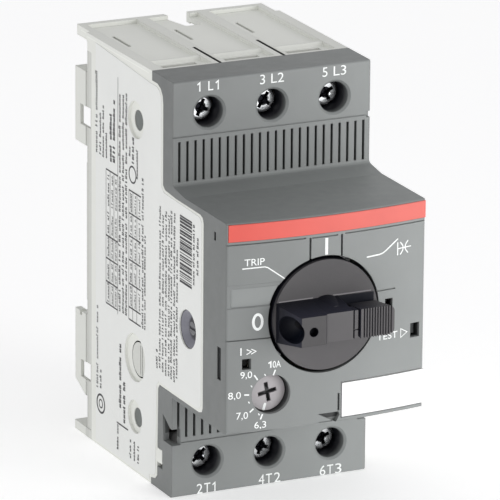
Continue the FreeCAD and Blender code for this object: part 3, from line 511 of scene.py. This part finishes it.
class Sheet:
    """Flat ink shapes gathered into one mesh that follows a surface."""

    def __init__(self, name, surface, look, body="housing", lift=0.03):
        self.name = name
        self.surface = surface
        self.look = look
        self.body = body
        self.lift = lift
        self.verts = []
        self.faces = []
        self.layer = 0

    def poly(self, points, step=True):
        """One filled convex polygon, points anticlockwise seen from the front."""
        start = len(self.verts)
        if step:
            self.layer = (self.layer + 1) % 5
        lift = self.lift + 0.004 * self.layer
        self.verts += [self.surface(u, v, lift) for u, v in points]
        self.faces.append(tuple(range(start, start + len(points))))

    def rect(self, u0, u1, v0, v1):
        self.poly([(u0, v0), (u1, v0), (u1, v1), (u0, v1)])

    def line(self, points, width, closed=False, caps=True):
        """A stroke along the points with mitred corners and round ends."""
        pts = [Vector(p) for p in points]
        count = len(pts)
        half = width / 2.0
        left = []
        right = []
        for i, p in enumerate(pts):
            before = pts[i - 1] if (i > 0 or closed) else None
            after = pts[(i + 1) % count] if (i < count - 1 or closed) else None
            if before is None:
                along = (after - p).normalized()
                normal = Vector((-along.y, along.x))
            elif after is None:
                along = (p - before).normalized()
                normal = Vector((-along.y, along.x))
            else:
                a = (p - before).normalized()
                b = (after - p).normalized()
                na = Vector((-a.y, a.x))
                nb = Vector((-b.y, b.x))
                normal = na + nb
                normal = normal / max(0.45, normal.dot(na))
            left.append(p + normal * half)
            right.append(p - normal * half)
        self.layer = (self.layer + 1) % 5
        last = count if closed else count - 1
        for i in range(last):
            j = (i + 1) % count
            self.poly([right[i], right[j], left[j], left[i]], False)
        if caps and not closed:
            self.cap(pts[0], pts[0] - pts[1], half)
            self.cap(pts[-1], pts[-1] - pts[-2], half)

    def cap(self, centre, outward, radius):
        turn = math.atan2(outward.y, outward.x)
        points = []
        for i in range(7):
            a = turn - math.pi / 2 + math.pi * i / 6
            points.append((centre.x + radius * math.cos(a), centre.y + radius * math.sin(a)))
        self.poly(points, False)

    def ring(self, u, v, radius, width):
        points = []
        for i in range(28):
            a = 2 * math.pi * i / 28
            points.append((u + radius * math.cos(a), v + radius * math.sin(a)))
        self.line(points, width, True)

    def text(self, words, u0, u1, v0, cap_height, bold=0.0):
        """Set words from u0 to u1 on a baseline v0, letters cap_height tall."""
        wide, tall, mesh = letters(words, bold)
        sx = (u1 - u0) / wide[1]
        sy = cap_height / tall
        start = len(self.verts)
        self.layer = (self.layer + 1) % 5
        lift = self.lift + 0.004 * self.layer
        for vertex in mesh.vertices:
            a = (vertex.co.x - wide[0]) * sx
            b = vertex.co.y * sy
            self.verts.append(self.surface(u0 + a, v0 + b, lift))
        for polygon in mesh.polygons:
            self.faces.append(tuple(start + i for i in polygon.vertices))
        bpy.data.meshes.remove(mesh)

    def make(self):
        mesh = bpy.data.meshes.new(self.name)
        mesh.from_pydata([tuple(v) for v in self.verts], [], self.faces)
        mesh.materials.append(self.look)
        mesh.update()
        piece = bpy.data.objects.new(self.name, mesh)
        bpy.context.scene.collection.objects.link(piece)
        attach(piece, self.body)
        return piece


def letters(words, bold):
    """((left edge, width), cap height, mesh) of words set in the built-in sans letters."""
    meshes = []
    for string in (words, "H"):
        curve = bpy.data.curves.new("letters", "FONT")
        curve.body = string
        curve.size = 1.0
        curve.resolution_u = 4
        curve.offset = bold
        piece = bpy.data.objects.new("letters", curve)
        bpy.context.scene.collection.objects.link(piece)
        bpy.context.view_layer.update()
        depsgraph = bpy.context.evaluated_depsgraph_get()
        meshes.append(bpy.data.meshes.new_from_object(piece.evaluated_get(depsgraph)))
        bpy.data.objects.remove(piece)
        bpy.data.curves.remove(curve)
    xs = [v.co.x for v in meshes[0].vertices]
    tall = max(v.co.y for v in meshes[1].vertices)
    bpy.data.meshes.remove(meshes[1])
    return (min(xs), max(xs) - min(xs)), tall, meshes[0]


def one(sheet, u, v, tall):
    """The figure 1 with its flag."""
    sheet.line([(u - 0.55, v + tall * 0.72), (u, v + tall - 0.12), (u, v)], 0.30, caps=False)


def terminal_marks():
    upper = Sheet("print_line_terminals", on_face, WHITE_INK)
    lower = Sheet("print_load_terminals", on_face, WHITE_INK)
    for x, number, other in zip(POLES, ("1", "3", "5"), ("1", "2", "3")):
        if number == "1":
            one(upper, x - 2.2, 87.5, 2.0)
        else:
            upper.text(number, x - 2.85, x - 1.7, 87.5, 2.0)
        if other == "1":
            upper.text("L", x - 0.3, x + 0.85, 87.5, 2.0)
            one(upper, x + 1.95, 87.5, 2.0)
        else:
            upper.text("L" + other, x - 0.3, x + 2.6, 87.5, 2.0)
    for x, number, other in zip(POLES, ("2", "4", "6"), ("1", "2", "3")):
        lower.text(number, x - 2.45, x - 1.1, 0.15, 2.15, 0.002)
        lower.text("T", x - 0.75, x + 0.7, 0.15, 2.15, 0.002)
        if other == "1":
            one(lower, x + 1.75, 0.15, 2.15)
        else:
            lower.text(other, x + 1.15, x + 2.65, 0.15, 2.15, 0.002)
    upper.make()
    lower.make()


def panel_marks():
    marks = Sheet("print_panel_symbols", on_panel, WHITE_INK)
    # switch positions
    marks.rect(-1.20, -0.55, 58.45, 62.0)
    zero = []
    for i in range(32):
        a = 2 * math.pi * i / 32
        zero.append((-15.83 + 0.95 * math.cos(a), 45.77 + 1.58 * math.sin(a)))
    marks.line(zero, 0.58, True)
    # line that leads from the trip position to the handle
    marks.line([(-19.1, 57.3), (-14.4, 57.35), (-13.8, 57.15), (-13.1, 56.65), (-10.2, 54.5)], 0.25)
    # line that leads to the contact symbol
    marks.line([(8.5, 56.7), (11.4, 56.85), (12.2, 57.05), (12.9, 57.45), (15.7, 59.5)], 0.3)
    # short-circuit release symbol: a bar and two chevrons
    marks.line([(-19.35, 39.0), (-19.35, 40.4)], 0.28)
    for u in (-18.1, -17.1):
        marks.line([(u, 40.05), (u + 0.95, 39.55), (u, 39.05)], 0.2)
    # closed contact symbol at the upper right
    marks.line([(15.75, 56.1), (15.75, 58.7)], 0.26)
    marks.line([(15.8, 57.4), (18.9, 57.55)], 0.24)
    marks.line([(16.45, 58.65), (16.95, 58.0), (17.1, 57.45), (16.95, 56.85), (16.45, 56.15)], 0.26)
    marks.line([(18.2, 58.8), (17.7, 58.15), (17.5, 57.45), (17.7, 56.95), (18.2, 56.3)], 0.26)
    # small triangle that points to the test opening
    marks.line([(16.8, 38.15), (16.8, 40.05), (18.35, 39.15)], 0.17, True)
    marks.make()
    words = Sheet("print_panel_words", on_panel, WHITE_INK)
    words.text("TRIP", -18.75, -14.45, 57.85, 1.42, 0.004)
    words.text("TEST", 11.1, 16.0, 38.35, 1.4, 0.006)
    words.make()


def dial_scale():
    scale = Sheet("print_dial_scale", on_panel, WHITE_INK)
    one(scale, -12.95, 35.65, 1.4)
    scale.text("0A", -12.55, -10.75, 35.65, 1.4, 0.012)
    scale.text("9,0", -19.45, -16.95, 33.95, 1.40, 0.004)
    scale.text("8,0", -22.0, -19.3, 29.7, 1.45, 0.004)
    scale.text("7,0", -20.25, -17.75, 25.25, 1.45, 0.004)
    scale.text("6,3", -16.4, -13.85, 22.95, 1.40, 0.004)
    for a, b in (((-11.95, 35.15), (-12.40, 34.0)), ((-16.5, 34.45), (-15.75, 33.35)),
                 ((-18.6, 30.4), (-17.55, 30.32)), ((-17.4, 26.55), (-16.6, 27.25)),
                 ((-15.1, 24.8), (-14.65, 25.9))):
        scale.line([a, b], 0.32, caps=False)
    for u, v in ((-14.17, 34.28), (-17.05, 32.1), (-17.59, 28.68), (-15.43, 25.92)):
        scale.line([(u - 0.12, v + 0.2), (u + 0.12, v - 0.2)], 0.22, caps=False)
    scale.make()


# strokes and rules of the label are printed this much bolder than their nominal widths
STROKE_GAIN = 1.45
RULE_GAIN = 1.6


def letter_run(sheet, d, h0, h1, size, rng, weight=0.16):
    """One greeked line: made-up letters that stand for unread print, running up the wall."""
    weight = weight * STROKE_GAIN
    h = h0
    while h < h1 - size * 0.5:
        for i in range(rng.randint(3, 9)):
            if h > h1:
                break
            kind = rng.random()
            tall = size if kind < 0.35 else size * 0.72
            sheet.poly([(-d - tall, h), (-d, h), (-d, h + weight), (-d - tall, h + weight)])
            if kind > 0.2:
                foot = h + size * 0.42
                sheet.poly([(-d - tall, foot), (-d, foot), (-d, foot + weight), (-d - tall, foot + weight)])
            level = rng.choice((0.0, 0.45, 0.85)) * tall
            sheet.poly([(-d - level - weight, h), (-d - level, h), (-d - level, h + size * 0.42),
                        (-d - level - weight, h + size * 0.42)])
            h += size * 0.92
        h += size * 0.75


def side_print():
    """The rating label's print: ruled tables, stripes and greeked lines."""
    rng = random.Random(7)
    black = Sheet("print_label_dark", on_side, BLACK_INK)
    pale = Sheet("print_label_grey", on_side, GREY_INK)
    faint = Sheet("print_label_rules", on_side, PALE_INK)

    def rule(sheet, d, h0, h1, width):
        sheet.rect(-d - width * RULE_GAIN / 2, -d + width * RULE_GAIN / 2, h0, h1)

    def cross(sheet, d0, d1, h, width):
        sheet.rect(-d1, -d0, h - width * RULE_GAIN / 2, h + width * RULE_GAIN / 2)

    # heading lines near the back edge
    for d, h0, h1, size, sheet in ((38.0, 65.2, 84.2, 1.05, black), (36.1, 65.2, 75.5, 0.85, pale),
                                   (34.6, 65.0, 76.2, 0.85, black), (33.0, 65.2, 71.4, 0.8, pale)):
        letter_run(sheet, d, h0, h1, size, rng)
    letter_run(black, 30.6, 65.0, 75.2, 1.1, rng, 0.26)
    letter_run(black, 28.9, 65.2, 78.6, 1.1, rng, 0.26)
    # long ruled block
    rule(faint, 27.4, 32.4, 84.3, 0.12)
    for d in (26.0, 24.3, 22.7):
        letter_run(pale, d, 33.4, 80.8 if d > 23.0 else 82.2, 0.95, rng, 0.17)
    # first table
    for h in (62.8, 48.3, 43.3, 38.2, 33.3):
        cross(pale, 27.4, 33.5, h, 0.2)
    for d in (33.5, 31.4, 29.4):
        rule(faint, d, 33.3, 62.8, 0.1)
    for h0, h1 in ((33.8, 37.8), (38.8, 42.8), (43.9, 47.9), (49.0, 53.5), (55.0, 61.5)):
        letter_run(pale, 31.9, h0, h1, 0.8, rng, 0.13)
        letter_run(faint, 29.9, h0, h1, 0.8, rng, 0.13)
        letter_run(faint, 28.0, h0, h1, 0.8, rng, 0.13)
    # marks beside the upper dimple, with a plain ring in place of an approval mark
    letter_run(pale, 21.0, 68.8, 72.0, 0.8, rng)
    letter_run(black, 19.2, 67.6, 72.9, 0.9, rng, 0.2)
    letter_run(pale, 17.2, 64.8, 71.6, 0.8, rng)
    black.ring(-19.9, 65.1, 1.75, 0.36)
    # second table
    for h in (61.4, 56.4, 51.4, 46.2, 41.0, 35.8, 33.1):
        cross(pale, 15.6, 21.7, h, 0.2)
    for d in (21.7, 19.7, 17.6):
        rule(faint, d, 33.1, 61.4, 0.1)
    for h0, h1 in ((36.3, 40.4), (41.5, 45.6), (46.7, 50.8), (51.9, 55.8), (56.9, 60.8)):
        letter_run(pale, 20.2, h0, h1, 0.8, rng, 0.13)
        letter_run(faint, 18.1, h0, h1, 0.75, rng, 0.12)
        letter_run(faint, 16.0, h0, h1, 0.75, rng, 0.12)
    letter_run(pale, 14.3, 33.0, 65.4, 0.85, rng, 0.15)
    letter_run(pale, 13.2, 33.0, 53.2, 0.7, rng, 0.13)
    # text block near the front
    for d, h0, h1, sheet in ((5.6, 26.9, 61.7, black), (4.1, 26.5, 60.6, pale), (2.6, 26.1, 62.5, black),
                             (1.1, 26.5, 61.4, pale), (-0.1, 26.2, 63.0, black), (-1.6, 26.0, 62.6, pale),
                             (7.0, 26.5, 30.5, pale), (-2.9, 27.2, 55.0, pale)):
        letter_run(sheet, d, h0, h1, 0.8, rng, 0.14)
    # stripes that stand for a code, with a greeked line beside them
    h = 48.6
    while h < 63.0:
        width = rng.choice((0.16, 0.2, 0.34, 0.5))
        black.rect(3.9, 9.8, h, h + width)
        h += width + rng.choice((0.14, 0.16, 0.26, 0.4))
    letter_run(black, -11.1, 49.8, 62.6, 0.85, rng, 0.16)
    letter_run(black, -13.0, 52.4, 59.8, 0.9, rng, 0.17)
    # foot of the label
    letter_run(faint, 37.6, 13.0, 31.4, 0.9, rng, 0.16)
    letter_run(pale, 35.9, 13.3, 17.4, 0.8, rng)
    letter_run(black, 25.6, 12.0, 26.4, 1.15, rng, 0.24)
    letter_run(black, 23.5, 9.2, 18.2, 1.15, rng, 0.24)
    for h0, h1 in ((2.3, 7.4), (2.3, 4.4)):
        letter_run(pale, 27.0, h0, h1, 0.8, rng)
    cross(pale, 22.0, 27.8, 8.25, 0.2)
    for d in (20.4, 18.4, 16.4):
        letter_run(pale, d, 2.4, 6.5, 0.8, rng)
    black.ring(-36.2, 9.8, 2.0, 0.45)
    black.ring(-36.2, 9.8, 0.9, 0.3)
    black.make()
    pale.make()
    faint.make()


def dial_pointer():
    """Small raised arrow on the setting dial."""
    low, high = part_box("setting_dial")
    cx = (low.x + high.x) * 500.0
    ch = (low.z + high.z) * 500.0 + RAIL_H

    def on_dial(u, v, lift):
        return mm(u, DIAL_FACE_D - lift, v)

    arrow = Sheet("print_dial_pointer", on_dial, WHITE_INK, "dial")
    arrow.line([(cx - 0.50, ch - 2.6), (cx - 0.82, ch - 3.6)], 0.6)
    arrow.make()


terminal_marks()
panel_marks()
dial_scale()
side_print()
dial_pointer()

# ---- floor, light and camera -----------------------------------------------------
FLOOR_Z = -RAIL_H * 0.001 - 0.00002


def floor():
    mesh = bpy.data.meshes.new("studio_floor")
    corners = [(-3.0, -3.0), (3.0, -3.0), (3.0, 4.0), (-3.0, 4.0)]
    mesh.from_pydata([(a, b, FLOOR_Z) for a, b in corners], [], [(0, 1, 2, 3)])
    n = Nodes("look_floor")
    patch = n.span(n.noise(3.0, 2.0), 0.0, 1.0)
    base = n.mix(patch, (0.90, 0.90, 0.90), (0.92, 0.92, 0.92))
    finish_surface(n, base, 0.9, 40.0, 0.02, 0.0)
    n.link(base, n.shader.inputs["Emission Color"])
    n.shader.inputs["Emission Strength"].default_value = 0.40
    mesh.materials.append(n.mat)
    piece = bpy.data.objects.new("studio_floor", mesh)
    bpy.context.scene.collection.objects.link(piece)


def world():
    sky = bpy.data.worlds.new("studio_sky")
    bpy.context.scene.world = sky
    sky.use_nodes = True
    tree = sky.node_tree
    back = tree.nodes["Background"]
    coord = tree.nodes.new("ShaderNodeTexCoord")
    split = tree.nodes.new("ShaderNodeSeparateXYZ")
    ramp = tree.nodes.new("ShaderNodeValToRGB")
    tree.links.new(coord.outputs["Generated"], split.inputs[0])
    tree.links.new(split.outputs["Z"], ramp.inputs["Fac"])
    ramp.color_ramp.elements[0].position = 0.0
    ramp.color_ramp.elements[0].color = (1.0, 1.0, 1.0, 1.0)
    ramp.color_ramp.elements[1].position = 0.9
    ramp.color_ramp.elements[1].color = (0.60, 0.60, 0.61, 1.0)
    tree.links.new(ramp.outputs["Color"], back.inputs["Color"])
    back.inputs["Strength"].default_value = 0.85


def lamp(name, place, target, size, watts):
    data = bpy.data.lights.new(name, "AREA")
    data.shape = "RECTANGLE"
    data.size = size[0]
    data.size_y = size[1]
    data.energy = watts
    piece = bpy.data.objects.new(name, data)
    bpy.context.scene.collection.objects.link(piece)
    piece.location = place
    aim = Vector(target) - Vector(place)
    piece.rotation_euler = aim.to_track_quat("-Z", "Y").to_euler()


def camera():
    az = math.radians(-25.384)
    el = math.radians(17.054)
    roll = math.radians(0.444)
    back = Vector((math.sin(az) * math.cos(el), -math.cos(az) * math.cos(el), math.sin(el)))
    across = Vector((-back.y, back.x, 0.0)).normalized()
    above = back.cross(across)
    right = across * math.cos(roll) + above * math.sin(roll)
    up = above * math.cos(roll) - across * math.sin(roll)
    data = bpy.data.cameras.new("camera")
    data.lens = 428.4
    data.sensor_width = 36.0
    data.clip_start = 0.05
    data.clip_end = 20.0
    piece = bpy.data.objects.new("camera", data)
    bpy.context.scene.collection.objects.link(piece)
    place = (-0.51085, -1.11065, 0.36818)
    rows = [(right[i], up[i], back[i], place[i]) for i in range(3)]
    piece.matrix_world = Matrix(rows + [(0.0, 0.0, 0.0, 1.0)])
    bpy.context.scene.camera = piece


floor()
world()
lamp("key", (0.34, -0.62, 0.10), (0.0, -0.06, 0.0), (0.35, 0.35), 2.2)
lamp("left", (-0.9, -0.5, 0.15), (0.0, -0.04, 0.0), (0.5, 0.5), 1.0)
camera()
scene = bpy.context.scene
scene.view_settings.view_transform = "Standard"
scene.view_settings.look = "None"
